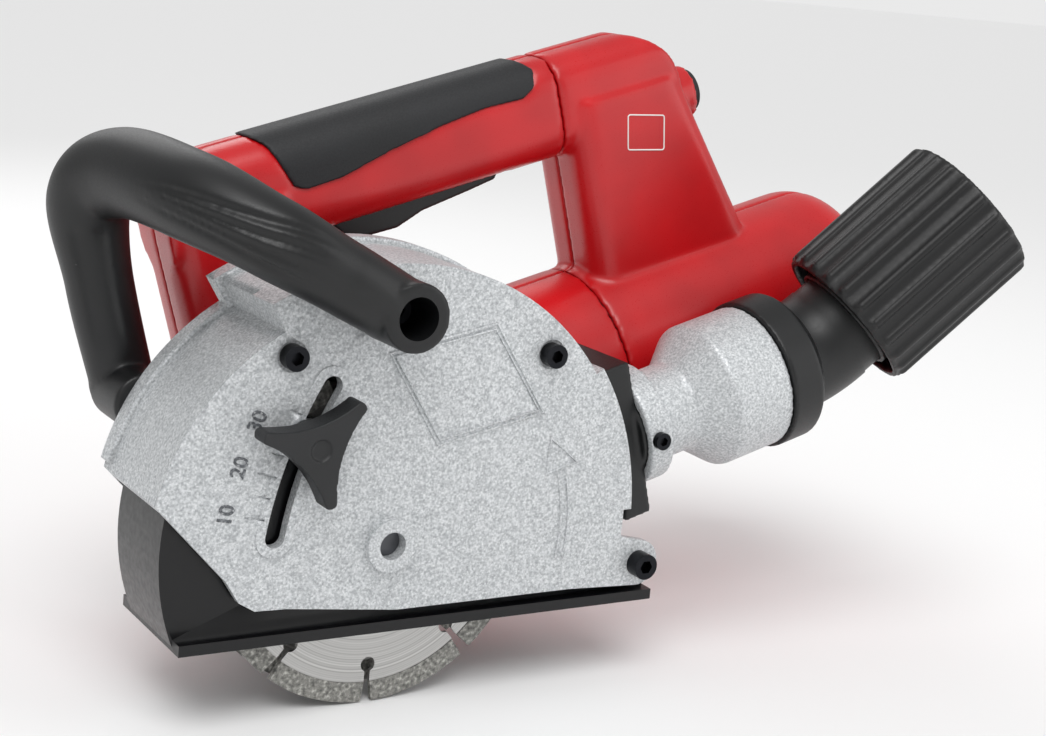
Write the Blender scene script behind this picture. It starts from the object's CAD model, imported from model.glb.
import math

import bmesh
import bpy
import numpy as np
from mathutils import Matrix, Vector


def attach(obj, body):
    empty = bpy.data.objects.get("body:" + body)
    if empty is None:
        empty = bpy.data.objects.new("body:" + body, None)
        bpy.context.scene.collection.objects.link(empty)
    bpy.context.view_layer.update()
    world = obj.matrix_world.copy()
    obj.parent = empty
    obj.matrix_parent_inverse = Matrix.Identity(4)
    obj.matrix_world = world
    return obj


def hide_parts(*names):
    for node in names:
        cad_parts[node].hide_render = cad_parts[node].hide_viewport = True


bl_info = {
    "name": "Wall chaser",
    "version": (1, 0, 0),
    "blender": (4, 5, 0),
    "location": "3D View > Sidebar > Wall chaser",
    "description": "Finishes the packed wall chaser: castings, mouldings, handle, discs and hose cuff",
    "category": "Object",
}

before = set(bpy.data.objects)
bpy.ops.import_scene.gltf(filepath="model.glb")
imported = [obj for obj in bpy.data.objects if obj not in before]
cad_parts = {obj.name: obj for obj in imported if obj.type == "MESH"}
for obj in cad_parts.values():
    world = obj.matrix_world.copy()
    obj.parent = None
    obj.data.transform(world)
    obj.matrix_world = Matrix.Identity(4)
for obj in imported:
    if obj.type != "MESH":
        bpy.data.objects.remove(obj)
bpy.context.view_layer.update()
MM = 0.001
BEAD_STEP = 0.0005
SEEN_SKY = 0.82
PITCH = math.radians(16.5)
SPINDLE_Z = 0.0325
ROLL_OUT = math.radians(25.3)


# ---- places -----------------------------------------------------------------------


def machine(u, y, w):
    """A point in the motor's tilted frame, in mm, as a point of the part, in metres."""
    return Vector(
        (
            (u * math.cos(PITCH) - w * math.sin(PITCH)) * MM,
            y * MM,
            SPINDLE_Z + (u * math.sin(PITCH) + w * math.cos(PITCH)) * MM,
        )
    )


MACHINE = Matrix.Translation((0, 0, SPINDLE_Z)) @ Matrix.Rotation(-PITCH, 4, "Y")


# ---- mesh helpers -------------------------------------------------------------------


def show(name, mesh, body):
    """A mesh as a piece of the part that rides on one body."""
    obj = bpy.data.objects.new(name, mesh)
    bpy.context.scene.collection.objects.link(obj)
    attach(obj, body)
    return obj


def smooth(mesh, angle=None):
    mesh.polygons.foreach_set("use_smooth", [True] * len(mesh.polygons))
    if angle is not None:
        mesh.set_sharp_from_angle(angle=math.radians(angle))
    return mesh


def merged_nodes(names):
    """CAD nodes joined into one bmesh with their loose triangles sewn together."""
    bm = bmesh.new()
    for name in names:
        bm.from_mesh(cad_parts[name].data)
    bmesh.ops.remove_doubles(bm, verts=bm.verts, dist=2e-6)
    return bm


def to_mesh(bm, name):
    mesh = bpy.data.meshes.new(name)
    bm.to_mesh(mesh)
    bm.free()
    return mesh


def bake(obj):
    """Applies an object's modifiers."""
    graph = bpy.context.evaluated_depsgraph_get()
    mesh = bpy.data.meshes.new_from_object(obj.evaluated_get(graph))
    obj.modifiers.clear()
    obj.data = mesh
    return obj


def scratch(mesh):
    obj = bpy.data.objects.new("scratch", mesh)
    bpy.context.scene.collection.objects.link(obj)
    return obj


def finished(obj):
    """The mesh of a scratch object with its modifiers applied, and the object removed."""
    mesh = bake(obj).data
    bpy.data.objects.remove(obj)
    return mesh


def clean(names, name):
    """A sewn copy of some CAD nodes whose curved faces shade smoothly between sharp edges."""
    obj = scratch(smooth(to_mesh(merged_nodes(names), name), 25))
    weigh = obj.modifiers.new("weigh", "WEIGHTED_NORMAL")
    weigh.mode, weigh.weight, weigh.keep_sharp = "FACE_AREA", 100, True
    mesh = finished(obj)
    mesh.name = name
    return mesh


def moulded(names, name, voxel, passes, factor=0.5):
    """A copy of some CAD nodes as one skin with soft edges, by remeshing and relaxing it."""
    obj = scratch(to_mesh(merged_nodes(names), name))
    remesh = obj.modifiers.new("skin", "REMESH")
    remesh.mode, remesh.voxel_size = "VOXEL", voxel
    relax = obj.modifiers.new("relax", "SMOOTH")
    relax.factor, relax.iterations = factor, passes
    mesh = finished(obj)
    mesh.name = name
    return smooth(mesh)


def ring_sweep(name, points, radii, shape, rings, sides):
    """A closed tube along a smooth path. shape(t, out) scales the radius towards the direction out."""
    path, radius = [], []
    count = len(points)
    pts = [Vector(p) for p in points]
    for i in range(rings + 1):
        f = i / rings * (count - 1)
        k = min(int(f), count - 2)
        t = f - k
        p0, p1, p2, p3 = (pts[min(max(j, 0), count - 1)] for j in (k - 1, k, k + 1, k + 2))
        square = (2 * p0 - 5 * p1 + 4 * p2 - p3) * t * t
        cube = (3 * p1 - p0 - 3 * p2 + p3) * t**3
        path.append(0.5 * (2 * p1 + (p2 - p0) * t + square + cube))
        s = t * t * (3 - 2 * t)
        radius.append(radii[k] * (1 - s) + radii[k + 1] * s)
    bm = bmesh.new()
    loops = []
    side = Vector((0, 0, 1))
    for i, centre in enumerate(path):
        along = (path[min(i + 1, rings)] - path[max(i - 1, 0)]).normalized()
        side = (side - along * side.dot(along)).normalized()
        other = along.cross(side)
        loop = []
        for j in range(sides):
            a = 2 * math.pi * j / sides
            out = side * math.cos(a) + other * math.sin(a)
            loop.append(bm.verts.new(centre + out * (radius[i] * shape(i / rings, out))))
        loops.append(loop)
    for a, b in zip(loops, loops[1:]):
        for j in range(sides):
            bm.faces.new((a[j], a[(j + 1) % sides], b[(j + 1) % sides], b[j]))
    bm.faces.new(list(reversed(loops[0])))
    bm.faces.new(loops[-1])
    bmesh.ops.recalc_face_normals(bm, faces=bm.faces)
    return to_mesh(bm, name)


def along_y(x, z, near, far):
    """Turns a Z cylinder centred on the origin to run along Y, midway from near to far; in mm."""
    middle = Vector((x, (near + far) / 2, z)) * MM
    return Matrix.Translation(middle) @ Matrix.Rotation(math.radians(90), 4, "X")


def add_rod(bm, x, z, near, far, radius, sides):
    bmesh.ops.create_cone(
        bm,
        cap_ends=True,
        segments=sides,
        radius1=radius * MM,
        radius2=radius * MM,
        depth=(far - near) * MM,
        matrix=along_y(x, z, near, far),
    )


def add_ball(bm, x, y, z, radius):
    place = Matrix.Translation(Vector((x, y, z)) * MM)
    bmesh.ops.create_uvsphere(bm, u_segments=48, v_segments=24, radius=radius * MM, matrix=place)


# ---- Geometry Nodes ------------------------------------------------------------------


def made(tree, kind, links=None, out=0, **settings):
    """The output socket of a node that add makes."""
    return add(tree, kind, links, **settings).outputs[out]


def node_tree(name, inputs):
    """An empty geometry tree with named inputs, and its group input node."""
    tree = bpy.data.node_groups.new(name, "GeometryNodeTree")
    tree.interface.new_socket("Geometry", in_out="OUTPUT", socket_type="NodeSocketGeometry")
    tree.interface.new_socket("Geometry", in_out="INPUT", socket_type="NodeSocketGeometry")
    for key, kind in inputs.items():
        tree.interface.new_socket(key, in_out="INPUT", socket_type="NodeSocket" + kind)
    return tree, add(tree, "NodeGroupInput").outputs


def close_tree(tree, geometry, material):
    real = add(tree, "GeometryNodeRealizeInstances", links={"Geometry": geometry}).outputs[0]
    done = add(tree, "GeometryNodeSetMaterial", links={"Geometry": real, "Material": material}).outputs[0]
    add(tree, "NodeGroupOutput", links={"Geometry": done})
    return tree


def bead_tree():
    """A round bead along every edge chain of the mesh, with its corners rounded."""
    sizes = {"Bead radius": "Float", "Corner radius": "Float"}
    tree, given = node_tree("bead along a line", {**sizes, "Material": "Material"})
    line = made(tree, "GeometryNodeMeshToCurve", {"Mesh": given["Geometry"]})
    corners = {"Curve": line, "Radius": given["Corner radius"], "Limit Radius": True}
    soft = made(tree, "GeometryNodeFilletCurve", corners)
    even = made(tree, "GeometryNodeResampleCurve", {"Curve": soft, "Length": BEAD_STEP}, mode="LENGTH")
    ring = made(tree, "GeometryNodeCurvePrimitiveCircle", {"Resolution": 10, "Radius": given["Bead radius"]})
    bead = made(tree, "GeometryNodeCurveToMesh", {"Curve": even, "Profile Curve": ring, "Fill Caps": True})
    return close_tree(tree, bead, given["Material"])


def rib_tree():
    """Round-ended ribs standing in a ring about the Z axis."""
    sizes = {"Count": "Int", "Ring radius": "Float", "Rib radius": "Float", "Length": "Float"}
    tree, given = node_tree("ribs in a ring", {**sizes, "Material": "Material"})
    radius = given["Rib radius"]
    length = given["Length"]
    ring = made(tree, "GeometryNodeMeshCircle", {"Vertices": given["Count"], "Radius": given["Ring radius"]})
    along = {"Direction": (0, 0, 1), "Length": length}
    line = made(tree, "GeometryNodeCurvePrimitiveLine", along, mode="DIRECTION")
    profile = made(tree, "GeometryNodeCurvePrimitiveCircle", {"Resolution": 20, "Radius": radius})
    bar = made(tree, "GeometryNodeCurveToMesh", {"Curve": line, "Profile Curve": profile, "Fill Caps": True})
    tip = made(tree, "GeometryNodeMeshUVSphere", {"Segments": 20, "Rings": 12, "Radius": radius})
    up = made(tree, "ShaderNodeCombineXYZ", {"Z": length})
    far = made(tree, "GeometryNodeTransform", {"Geometry": tip, "Translation": up})
    rib = add(tree, "GeometryNodeJoinGeometry")
    for part in (bar, tip, far):
        tree.links.new(part, rib.inputs[0])
    ribs = made(tree, "GeometryNodeInstanceOnPoints", {"Points": ring, "Instance": rib.outputs[0]})
    return close_tree(tree, ribs, given["Material"])


def grown(tree, mesh, **inputs):
    """The plain mesh a geometry tree makes from a mesh and its named inputs."""
    obj = scratch(mesh)
    grow = obj.modifiers.new("grow", "NODES")
    grow.node_group = tree
    for item in tree.interface.items_tree:
        if item.in_out == "INPUT" and item.name in inputs:
            grow[item.identifier] = inputs[item.name]
    return finished(obj)


def edge_chains(chains, name):
    """Chains of points as edges; a chain whose last point is its first is a ring."""
    mesh = bpy.data.meshes.new(name)
    points, edges = [], []
    for chain in chains:
        ring = chain[0] == chain[-1]
        own = chain[:-1] if ring else chain
        first = len(points)
        points += own
        edges += [(first + i, first + i + 1) for i in range(len(own) - 1)]
        if ring:
            edges.append((first + len(own) - 1, first))
    mesh.from_pydata(points, edges, [])
    return mesh


# ---- material helpers ---------------------------------------------------------------


def linear(code, alpha=1.0):
    """An sRGB hex colour as linear values."""
    parts = [int(code[i : i + 2], 16) / 255 for i in (1, 3, 5)]
    return tuple(c / 12.92 if c <= 0.04045 else ((c + 0.055) / 1.055) ** 2.4 for c in parts) + (alpha,)


def add(tree, kind, links=None, **settings):
    """Adds a node; links name its inputs, and settings its properties."""
    node = tree.nodes.new(kind)
    for key, value in settings.items():
        setattr(node, key, value)
    for key, value in (links or {}).items():
        socket = node.inputs[key]
        if isinstance(value, bpy.types.NodeSocket):
            tree.links.new(value, socket)
        else:
            socket.default_value = value
    return node


def start(name, **shader):
    """A material with its output, shader and object coordinates."""
    mat = bpy.data.materials.new(name)
    mat.use_nodes = True
    tree = mat.node_tree
    tree.nodes.clear()
    out = add(tree, "ShaderNodeOutputMaterial")
    bsdf = add(tree, "ShaderNodeBsdfPrincipled", links=shader)
    tree.links.new(bsdf.outputs[0], out.inputs["Surface"])
    place = add(tree, "ShaderNodeTexCoord").outputs["Object"]
    return mat, tree, bsdf, place


def ramp(tree, value, stops):
    node = add(tree, "ShaderNodeValToRGB", links={"Fac": value})
    node.color_ramp.elements[0].position, node.color_ramp.elements[0].color = stops[0]
    node.color_ramp.elements[1].position, node.color_ramp.elements[1].color = stops[-1]
    for position, colour in stops[1:-1]:
        node.color_ramp.elements.new(position).color = colour
    return node.outputs["Color"]


def noise(tree, place, grain_mm, detail=2.0):
    """Noise with grains of about the given size."""
    return made(tree, "ShaderNodeTexNoise", {"Vector": place, "Scale": 1000 / grain_mm, "Detail": detail})


def spread(tree, value, low, high):
    ends = {"Value": value, "From Min": 0.3, "From Max": 0.7, "To Min": low, "To Max": high}
    return made(tree, "ShaderNodeMapRange", ends)


def bump(tree, bsdf, height, depth_mm, strength=1.0, edge_mm=0.0):
    """A fine relief, over edges that shade as if rounded by edge_mm."""
    relief = {"Height": height, "Distance": depth_mm * MM, "Strength": strength}
    node = add(tree, "ShaderNodeBump", relief)
    if edge_mm:
        edge = add(tree, "ShaderNodeBevel", links={"Radius": edge_mm * MM}, samples=4)
        tree.links.new(edge.outputs["Normal"], node.inputs["Normal"])
    tree.links.new(node.outputs["Normal"], bsdf.inputs["Normal"])


def silver_cast_paint(name, base, light, dark):
    """Sand-cast aluminium under metallic paint: a pebbled skin whose flakes glint at random."""
    mat, tree, bsdf, place = start(name, Metallic=0.3)
    flakes = add(tree, "ShaderNodeTexVoronoi", links={"Vector": place, "Scale": 1000 / 0.55})
    pebbles = noise(tree, place, 0.9, 3.0)
    shade = ramp(tree, pebbles, [(0.3, linear(dark)), (0.5, linear(base)), (0.7, linear(light))])
    glint = add(tree, "ShaderNodeSeparateColor", links={"Color": flakes.outputs["Color"]}).outputs["Red"]
    bright = ramp(tree, glint, [(0.8, (0, 0, 0, 1)), (0.97, (0.5, 0.5, 0.5, 1))])
    colours = {"Factor": bright, "A": shade, "B": linear("#eef0f1")}
    mix = add(tree, "ShaderNodeMix", colours, data_type="RGBA")
    tree.links.new(mix.outputs["Result"], bsdf.inputs["Base Color"])
    tree.links.new(spread(tree, pebbles, 0.56, 0.4), bsdf.inputs["Roughness"])
    bump(tree, bsdf, pebbles, 0.08, 0.5, 0.3)
    return mat


def moulded_plastic(name, colour, deep, rough, grain_mm, grain_depth, coat=0.0):
    """Injection-moulded plastic with a fine spark-eroded grain and slightly uneven gloss."""
    mat, tree, bsdf, place = start(name, **{"Coat Weight": coat, "Coat Roughness": 0.25, "IOR": 1.5})
    broad = noise(tree, place, 30.0, 2.0)
    grain = noise(tree, place, grain_mm, 3.0)
    tree.links.new(ramp(tree, broad, [(0.3, linear(deep)), (0.7, linear(colour))]), bsdf.inputs["Base Color"])
    tree.links.new(spread(tree, grain, rough - 0.06, rough + 0.08), bsdf.inputs["Roughness"])
    bump(tree, bsdf, grain, grain_depth, 0.7)
    return mat


def turned_steel(name, colour, rough, around="Y", pitch_mm=0.5):
    """Machined steel with fine turning marks round an axis of the part."""
    mat, tree, bsdf, place = start(name, Metallic=1.0)
    rows = {"Scale": 1000 / pitch_mm, "Detail": 3.0}
    bands = add(tree, "ShaderNodeTexNoise", rows, noise_dimensions="1D")
    axis = add(tree, "ShaderNodeSeparateXYZ", links={"Vector": place})
    tree.links.new(axis.outputs[around], bands.inputs["W"])
    cloud = noise(tree, place, 6.0)
    bright = tuple(min(1, c * 1.25) for c in linear(colour))
    shade = ramp(tree, cloud, [(0.3, linear(colour)), (0.7, bright)])
    tree.links.new(shade, bsdf.inputs["Base Color"])
    tree.links.new(spread(tree, bands.outputs["Fac"], rough - 0.06, rough + 0.1), bsdf.inputs["Roughness"])
    bump(tree, bsdf, bands.outputs["Fac"], 0.02, 0.5)
    return mat


def ground_disc(name):
    """A ground steel disc: concentric grinding marks round the spindle, lightly brushed."""
    mat, tree, bsdf, place = start(name, Metallic=0.9)
    centre = add(tree, "ShaderNodeVectorMath", operation="SUBTRACT", links={0: place, 1: (0, 0, SPINDLE_Z)})
    flat = add(tree, "ShaderNodeVectorMath", operation="MULTIPLY", links={0: centre.outputs[0], 1: (1, 0, 1)})
    away = add(tree, "ShaderNodeVectorMath", operation="LENGTH", links={0: flat.outputs[0]}).outputs["Value"]
    rows = {"W": away, "Scale": 1000 / 0.7, "Detail": 4.0}
    marks = made(tree, "ShaderNodeTexNoise", rows, noise_dimensions="1D")
    shade = ramp(tree, marks, [(0.3, linear("#a9a8a6")), (0.7, linear("#d2d1cf"))])
    tree.links.new(shade, bsdf.inputs["Base Color"])
    tree.links.new(spread(tree, marks, 0.3, 0.46), bsdf.inputs["Roughness"])
    bump(tree, bsdf, marks, 0.03, 0.5)
    return mat


def sintered_rim(name):
    """Sintered metal with diamond grit standing proud of it: dull, speckled and rough."""
    mat, tree, bsdf, place = start(name, Metallic=0.4)
    grit = add(tree, "ShaderNodeTexVoronoi", links={"Vector": place, "Scale": 1000 / 1.0}).outputs["Distance"]
    body = noise(tree, place, 1.6, 5.0)
    stops = [(0.32, linear("#5f5f5c")), (0.55, linear("#95948f")), (0.7, linear("#c9c8c2"))]
    tree.links.new(ramp(tree, body, stops), bsdf.inputs["Base Color"])
    tree.links.new(spread(tree, body, 0.75, 0.5), bsdf.inputs["Roughness"])
    bump(tree, bsdf, grit, 0.25, 0.9)
    return mat


def gloss_enamel(name, colour, rough):
    """Gloss enamel on pressed steel: a wet-looking skin with a faint orange peel."""
    gloss = {"Specular IOR Level": 0.35, "Coat Weight": 0.15, "Coat Roughness": 0.1}
    mat, tree, bsdf, place = start(name, **{"Base Color": linear(colour), **gloss})
    peel = noise(tree, place, 2.2, 1.0)
    tree.links.new(spread(tree, peel, rough, rough + 0.1), bsdf.inputs["Roughness"])
    bump(tree, bsdf, peel, 0.04, 0.3)
    return mat


def plain(name, colour, rough):
    """One even colour, for the floor."""
    return start(name, **{"Base Color": linear(colour), "Roughness": rough, "Specular IOR Level": 0.1})[0]


FINISH = {}


def finishes():
    """Every finish of the part, by a maker's name, made once."""
    if FINISH:
        return FINISH
    FINISH.update(
        cast=silver_cast_paint("silver painted casting", "#bfc2c4", "#dcdee0", "#a0a3a6"),
        bare=silver_cast_paint("bare aluminium casting", "#a6a7a8", "#c4c5c5", "#868788"),
        mark=silver_cast_paint("shaded cast mark", "#5d6064", "#7b7e82", "#44474a"),
        print=moulded_plastic("white pad print", "#f2f1ee", "#e6e5e1", 0.4, 0.5, 0.004),
        red=moulded_plastic("satin red ABS", "#cc0f17", "#b50a12", 0.32, 0.5, 0.01, 0.2),
        black=moulded_plastic("satin black nylon", "#101112", "#0b0c0d", 0.42, 0.45, 0.02),
        grip=moulded_plastic("soft black handle", "#0f1012", "#0b0c0d", 0.42, 0.4, 0.02),
        knob=moulded_plastic("matt black phenolic", "#1f2022", "#18191a", 0.5, 0.5, 0.03),
        rubber=moulded_plastic("grained soft rubber", "#1b1c1f", "#151618", 0.6, 0.7, 0.06),
        cuff=moulded_plastic("moulded black rubber", "#0f0f10", "#0a0a0b", 0.42, 0.6, 0.03),
        green=moulded_plastic("potted circuit", "#1f6b41", "#174f31", 0.4, 3.0, 0.2),
        carbon=moulded_plastic("pressed carbon", "#242424", "#1a1a1a", 0.6, 0.3, 0.05),
        enamel=gloss_enamel("gloss black enamel", "#08080a", 0.28),
        oxide=turned_steel("blackened steel screw", "#26272a", 0.34),
        dark=turned_steel("oiled dark steel", "#5a5b5e", 0.36),
        steel=turned_steel("turned bright steel", "#b9babc", 0.3),
        bronze=turned_steel("sintered bronze", "#a9763f", 0.42),
        copper=turned_steel("enamelled copper", "#b8683c", 0.38),
        brass=turned_steel("machined brass", "#c9a455", 0.32),
        disc=ground_disc("ground steel disc"),
        rim=sintered_rim("sintered diamond rim"),
    )
    return FINISH


NODE_FINISH = {
    "cast": ["guard_back", "guard_cover", "dust_port"],
    "bare": ["gear_housing", "gear_cap"],
    "red": ["front_shell_left", "front_shell_right", "rear_shell_left", "rear_shell_right", "lock_button"],
    "black": ["trigger", "switch_body", "port_plate", "swivel_ring", "dust_elbow", "cooling_fan"],
    "grip": ["front_handle"],
    "knob": ["clamp_knob"],
    "rubber": ["soft_grip", "cord_grommet"],
    "cuff": ["hose_cuff"],
    "green": ["soft_start_module"],
    "carbon": ["carbon_brushes"],
    "enamel": ["shoe"],
    "oxide": ["cover_bolts", "pivot_bolt", "gearbox_screws", "gear_cap_screws", "housing_screws",
              "port_screws", "front_handle_bolts"],
    "dark": ["spindle", "clamp_nut", "bevel_gear", "bevel_pinion", "motor_shaft", "rotor_core",
             "stator_core"],
    "steel": ["pivot_sleeve", "clamp_stud", "stud_washer", "spindle_bearing", "spacer_rings", "gear_circlip",
              "lock_spring", "front_bearing", "rear_bearing", "trigger_pin", "trigger_spring",
              "inner_flange"],
    "bronze": ["spindle_bush"],
    "copper": ["commutator", "field_coils"],
    "brass": ["knob_insert", "brush_holders"],
    "disc": ["near_disc", "far_disc"],
    "rim": ["near_segments", "far_segments"],
}


def paint(obj, finish):
    obj.data.materials.clear()
    obj.data.materials.append(finishes()[finish])
    return obj


# ---- settings ---------------------------------------------------------------------------


class StageSettings(bpy.types.PropertyGroup):
    floor: bpy.props.StringProperty(
        name="Floor colour",
        description="Colour of the studio floor",
        default="#f4f4f4",
    )
    lens: bpy.props.FloatProperty(
        name="Lens",
        description="Focal length of the camera on a 36 mm sensor",
        default=63.5,
        unit="CAMERA",
    )
    sky: bpy.props.FloatProperty(
        name="Sky",
        description="Strength of the even light from all round",
        default=0.52,
    )
    sun: bpy.props.FloatProperty(name="Sun", description="Strength of the broad main light", default=1.3)
    key_power: bpy.props.FloatProperty(
        name="Key light",
        description="Power of the soft light above",
        default=3.5,
        unit="POWER",
    )
    fill_power: bpy.props.FloatProperty(
        name="Fill light",
        description="Power of the side and back lights",
        default=3.0,
        unit="POWER",
    )


class CastingSettings(bpy.types.PropertyGroup):
    digit: bpy.props.FloatProperty(
        name="Digit height",
        description="Height of the depth scale's numbers",
        default=0.0075,
        unit="LENGTH",
    )
    relief: bpy.props.FloatProperty(
        name="Relief",
        description="How far cast marks stand proud",
        default=0.00035,
        unit="LENGTH",
    )


class MouldingSettings(bpy.types.PropertyGroup):
    voxel: bpy.props.FloatProperty(
        name="Skin cell",
        description="Cell of the moulded skins",
        default=0.0013,
        unit="LENGTH",
    )
    relax: bpy.props.IntProperty(name="Softness", description="How far moulded edges are softened", default=6)


class HandleSettings(bpy.types.PropertyGroup):
    groove: bpy.props.FloatProperty(
        name="Groove depth",
        description="Depth of the long finger grooves",
        default=0.0021,
        unit="LENGTH",
    )
    rings: bpy.props.IntProperty(
        name="Rings",
        description="Cross-sections along the front handle",
        default=220,
    )
    sides: bpy.props.IntProperty(name="Sides", description="Points round the front handle", default=96)


# ---- pieces ------------------------------------------------------------------------------


class CHASER_OT_nodes(bpy.types.Operator):
    """Give every CAD node its finish"""

    bl_idname = "chaser.nodes"
    bl_label = "Finish the CAD nodes"

    def execute(self, context):
        for finish, names in NODE_FINISH.items():
            for name in names:
                paint(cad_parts[name], finish)
        return {"FINISHED"}


class CHASER_OT_guard(bpy.types.Operator):
    """Shade the castings smoothly and cast the depth numbers on the cover"""

    bl_idname = "chaser.guard"
    bl_label = "Guard castings"

    def execute(self, context):
        casting = context.scene.chaser_casting
        for node, piece in (("guard_back", "guard_casting"), ("guard_cover", "cover_casting")):
            obj = show(piece, clean([node], piece), "machine")
            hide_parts(node)
            paint(obj, "cast")
        pivot = Vector((0.109, 0, 0.015))
        for mark, angle in (("10", 10.9), ("20", 16.4), ("30", 21.8)):
            text = bpy.data.curves.new("digits", "FONT")
            text.body, text.size = mark, casting.digit
            text.align_x, text.align_y = "CENTER", "CENTER"
            text.extrude, text.offset = casting.relief, 0.0001
            obj = bpy.data.objects.new("digits", text)
            context.scene.collection.objects.link(obj)
            mesh = bpy.data.meshes.new_from_object(obj.evaluated_get(context.evaluated_depsgraph_get()))
            bpy.data.objects.remove(obj)
            a = math.radians(angle)
            at = pivot + Vector((-math.cos(a), 0, math.sin(a))) * 0.1745
            at.y = -0.0185
            # upright text in the X-Z plane, then turned so that it runs up the scale
            upright = Matrix.Rotation(math.radians(90), 4, "X")
            mesh.transform(Matrix.Translation(at) @ Matrix.Rotation(a - math.radians(90), 4, "Y") @ upright)
            piece = show("scale_" + mark, smooth(mesh, 30), "machine")
            paint(piece, "mark")
        return {"FINISHED"}


class CHASER_OT_shoe(bpy.types.Operator):
    """Shade the pressed shoe smoothly"""

    bl_idname = "chaser.shoe"
    bl_label = "Shoe"

    def execute(self, context):
        obj = show("shoe_pressing", clean(["shoe"], "shoe_pressing"), "shoe")
        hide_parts("shoe")
        paint(obj, "enamel")
        return {"FINISHED"}


class CHASER_OT_knob(bpy.types.Operator):
    """Model the three-armed clamp knob with soft edges"""

    bl_idname = "chaser.knob"
    bl_label = "Clamp knob"

    def execute(self, context):
        obj = show("knob_moulding", moulded(["clamp_knob"], "knob_moulding", 0.0005, 5), "knob")
        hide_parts("clamp_knob")
        paint(obj, "knob")
        return {"FINISHED"}


class CHASER_OT_housings(bpy.types.Operator):
    """Mould the four red shells, the inlay and the trigger, and print the square on the rear strut"""

    bl_idname = "chaser.housings"
    bl_label = "Housings"

    def execute(self, context):
        set_up = context.scene.chaser_moulding
        for node in ("front_shell_left", "front_shell_right", "rear_shell_left", "rear_shell_right"):
            obj = show(node + "_skin", moulded([node], node + "_skin", set_up.voxel, set_up.relax), "machine")
            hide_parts(node)
            paint(obj, "red")
        for node, body, piece, voxel, finish, slot in (
            ("soft_grip", "machine", "grip_inlay", 0.0008, "rubber", "soft_rubber"),
            ("trigger", "trigger", "trigger_paddle", 0.0007, "black", "black_plastic"),
        ):
            obj = show(piece, moulded([node], piece, voxel, 5), body)
            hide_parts(node)
            paint(obj, finish)
        strut_face = 53.95
        square_at = ((171, 102.7), (188.4, 98), (186, 84), (168.6, 88.6))
        corners = [machine(u, strut_face, w) for u, w in square_at]
        square = edge_chains([corners + corners[:1]], "square")
        sizes = {"Bead radius": 0.0003, "Corner radius": 0.0006}
        line = grown(bead_tree(), square, **sizes, Material=finishes()["print"])
        show("strut_square", smooth(line), "machine")
        return {"FINISHED"}


class CHASER_OT_port(bpy.types.Operator):
    """Soften the dust port, its plate, the swivel ring and the cuff, and stand the cuff's ribs"""

    bl_idname = "chaser.port"
    bl_label = "Dust port"

    def execute(self, context):
        for node, body, piece, voxel, finish, slot in (
            ("dust_port", "machine", "port_casting", 0.0008, "cast", "cast_silver"),
            ("port_plate", "machine", "port_seat", 0.0009, "black", "black_plastic"),
            ("swivel_ring", "hose_adaptor", "swivel_collar", 0.0007, "black", "black_plastic"),
            ("hose_cuff", "hose_adaptor", "cuff_skin", 0.0009, "cuff", "black_plastic"),
        ):
            obj = show(piece, moulded([node], piece, voxel, 4), body)
            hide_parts(node)
            paint(obj, finish)
        sizes = {"Count": 22, "Ring radius": 0.0308, "Rib radius": 0.0022, "Length": 0.0626}
        ribs = grown(rib_tree(), bpy.data.meshes.new("ribs"), **sizes, Material=finishes()["cuff"])
        bend, bend_radius, bend_from, rib_from = math.radians(33), 0.04, 0.194, 0.0122
        past_bend = (bend_from + bend_radius * math.sin(bend), 0, bend_radius * (1 - math.cos(bend)))
        ribs.transform(
            MACHINE
            @ Matrix.Rotation(ROLL_OUT, 4, "X")
            @ Matrix.Translation(past_bend)
            @ Matrix.Rotation(-bend, 4, "Y")
            @ Matrix.Translation((rib_from, 0, 0))
            @ Matrix.Rotation(math.radians(90), 4, "Y")
        )
        show("cuff_ribs", smooth(ribs), "hose_adaptor")
        return {"FINISHED"}


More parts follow.
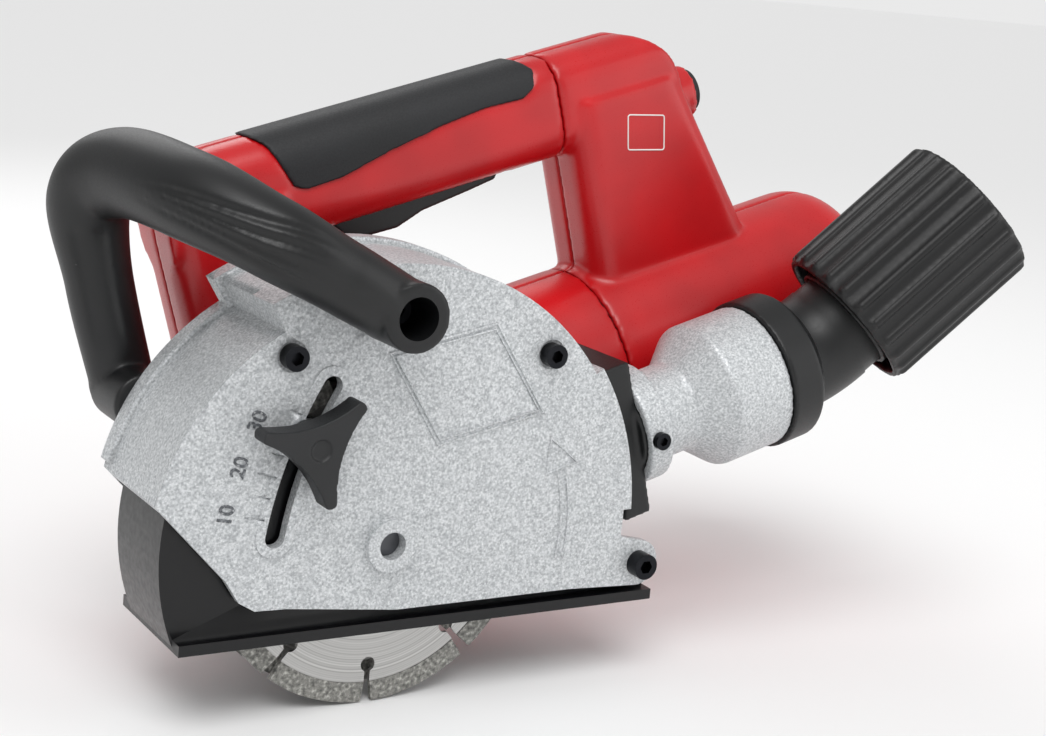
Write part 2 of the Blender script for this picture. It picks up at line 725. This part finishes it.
class CHASER_OT_handle(bpy.types.Operator):
    """Sweep the front handle with its swelling grip and long grooves"""

    bl_idname = "chaser.handle"
    bl_label = "Front handle"

    def execute(self, context):
        handle = context.scene.chaser_handle
        bow = [
            (-9, -31, 118.5), (-33, -32, 131), (-56, -28, 143), (-73, -2, 152),
            (-82, 38, 154), (-88, 55, 143), (-82, 58, 112), (-73, 57, 78),
        ]
        radii = [12, 12.5, 13.5, 15, 15.5, 14.5, 12, 11.5]

        def shape(t, out):
            round_near = math.atan2(out.z, -out.y)
            off = [round_near - math.radians(at) for at in (-34, -12, 10, 32)]
            grooves = sum(math.exp(-((a / 0.08) ** 2)) for a in off)
            long_grooves = math.exp(-(((t - 0.33) / 0.11) ** 4)) * grooves * handle.groove / 0.014
            face = max(0.0, out.dot(Vector((-0.35, -0.94, 0))))
            panel = math.exp(-(((t - 0.84) / 0.085) ** 8)) * (1 if face > 0.9 else 0)
            return 1 - long_grooves - panel * 0.1

        points = [Vector(p) * MM for p in bow]
        sweep = ring_sweep("bow", points, [r * MM for r in radii], shape, handle.rings, handle.sides)
        bm = bmesh.new()
        bm.from_mesh(sweep)
        add_rod(bm, -9, 118.5, -43.5, -18.5, 12, 64)
        add_rod(bm, -73, 74, 31.5, 58, 11, 64)
        add_ball(bm, -9, -31, 118.5, 12)
        add_ball(bm, -73, 57, 76, 11.4)
        obj = scratch(to_mesh(bm, "bow_handle"))
        remesh = obj.modifiers.new("skin", "REMESH")
        remesh.mode, remesh.voxel_size = "VOXEL", 0.0008
        relax = obj.modifiers.new("relax", "SMOOTH")
        relax.factor, relax.iterations = 0.5, 8
        bm = bmesh.new()
        near_holes = ((-9, 118.5, -60, -22.5, 7.4), (-9, 118.5, -30, -10, 3))
        far_holes = ((-73, 74, 45.5, 90, 7), (-73, 74, 20, 60, 3))
        for hole in near_holes + far_holes:
            add_rod(bm, *hole, 48)
        holes = scratch(to_mesh(bm, "holes"))
        cut = obj.modifiers.new("holes", "BOOLEAN")
        cut.operation, cut.object, cut.solver, cut.use_self = "DIFFERENCE", holes, "EXACT", True
        mesh = finished(obj)
        bpy.data.objects.remove(holes)
        obj = show("bow_handle", smooth(mesh, 40), "machine")
        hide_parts("front_handle")
        paint(obj, "grip")
        return {"FINISHED"}


class CHASER_OT_stage(bpy.types.Operator):
    """Set the floor, the soft lights and the camera"""

    bl_idname = "chaser.stage"
    bl_label = "Stage"

    def execute(self, context):
        stage = context.scene.chaser_stage
        bpy.ops.mesh.primitive_plane_add(size=80, location=(0, 0, -0.0305))
        floor = context.object
        floor.name = "floor"
        floor.data.materials.append(plain("studio floor", stage.floor, 0.9))
        world = context.scene.world or bpy.data.worlds.new("studio")
        context.scene.world = world
        world.use_nodes = True
        sky = world.node_tree.nodes["Background"]
        sky.inputs["Color"].default_value = (1, 1, 1, 1)
        # the eye sees the sky as bright as the floor, so that no horizon shows
        seen = add(world.node_tree, "ShaderNodeLightPath").outputs["Is Camera Ray"]
        ends = {"Value": seen, "To Min": stage.sky, "To Max": SEEN_SKY}
        level = made(world.node_tree, "ShaderNodeMapRange", ends)
        world.node_tree.links.new(level, sky.inputs["Strength"])
        middle = Vector((0.08, 0.03, 0.09))
        for name, place, size, power in (
            ("key", (-0.5, -0.75, 1.15), 0.9, stage.key_power),
            ("fill", (1.0, -0.7, 0.5), 0.9, stage.fill_power),
            ("back", (0.1, 1.1, 0.9), 0.8, stage.fill_power),
        ):
            lamp = bpy.data.lights.new(name, "AREA")
            lamp.size, lamp.energy = size, power
            obj = bpy.data.objects.new(name, lamp)
            obj.location = place
            obj.rotation_mode = "QUATERNION"
            obj.rotation_quaternion = (middle - Vector(place)).to_track_quat("-Z", "Y")
            context.scene.collection.objects.link(obj)
        lamp = bpy.data.lights.new("sun", "SUN")
        lamp.energy, lamp.angle = stage.sun, math.radians(40)
        obj = bpy.data.objects.new("sun", lamp)
        obj.rotation_mode = "QUATERNION"
        obj.rotation_quaternion = Vector((0.25, 0.45, -0.85)).to_track_quat("-Z", "Y")
        context.scene.collection.objects.link(obj)
        cam = bpy.data.cameras.new("camera")
        cam.sensor_width, cam.lens = 36, stage.lens
        cam.clip_start, cam.clip_end = 0.01, 50
        obj = bpy.data.objects.new("camera", cam)
        azimuth, rise, roll = math.radians(-32.684), math.radians(12.168), math.radians(5.216)
        flat = math.cos(rise)
        ahead = Vector((-math.sin(azimuth) * flat, math.cos(azimuth) * flat, -math.sin(rise)))
        right = Vector((math.cos(azimuth), math.sin(azimuth), 0))
        up = right.cross(ahead)
        right, up = right * math.cos(roll) + up * math.sin(roll), up * math.cos(roll) - right * math.sin(roll)
        turn = Matrix((right, up, -ahead)).transposed()
        obj.matrix_world = Matrix.Translation((-0.3001, -0.5625, 0.2335)) @ turn.to_4x4()
        context.scene.collection.objects.link(obj)
        context.scene.camera = obj
        context.scene.view_settings.view_transform = "Standard"
        return {"FINISHED"}


STEPS = (
    CHASER_OT_nodes,
    CHASER_OT_guard,
    CHASER_OT_shoe,
    CHASER_OT_knob,
    CHASER_OT_housings,
    CHASER_OT_port,
    CHASER_OT_handle,
    CHASER_OT_stage,
)
GROUPS = (
    ("chaser_stage", StageSettings),
    ("chaser_casting", CastingSettings),
    ("chaser_moulding", MouldingSettings),
    ("chaser_handle", HandleSettings),
)


class CHASER_PT_panel(bpy.types.Panel):
    """The wall chaser's pieces and settings"""

    bl_label = "Wall chaser"
    bl_idname = "CHASER_PT_panel"
    bl_space_type = "VIEW_3D"
    bl_region_type = "UI"
    bl_category = "Wall chaser"

    def draw(self, context):
        for attribute, group in GROUPS:
            for key in group.__annotations__:
                self.layout.prop(getattr(context.scene, attribute), key)
        for step in STEPS:
            self.layout.operator(step.bl_idname)


def register():
    for attribute, group in GROUPS:
        bpy.utils.register_class(group)
        setattr(bpy.types.Scene, attribute, bpy.props.PointerProperty(type=group))
    for step in STEPS:
        bpy.utils.register_class(step)
    bpy.utils.register_class(CHASER_PT_panel)


def unregister():
    bpy.utils.unregister_class(CHASER_PT_panel)
    for step in reversed(STEPS):
        bpy.utils.unregister_class(step)
    for attribute, group in reversed(GROUPS):
        delattr(bpy.types.Scene, attribute)
        bpy.utils.unregister_class(group)


def main():
    register()
    for step in STEPS:
        area, name = step.bl_idname.split(".")
        getattr(getattr(bpy.ops, area), name)()


if __name__ == "__main__":
    main()
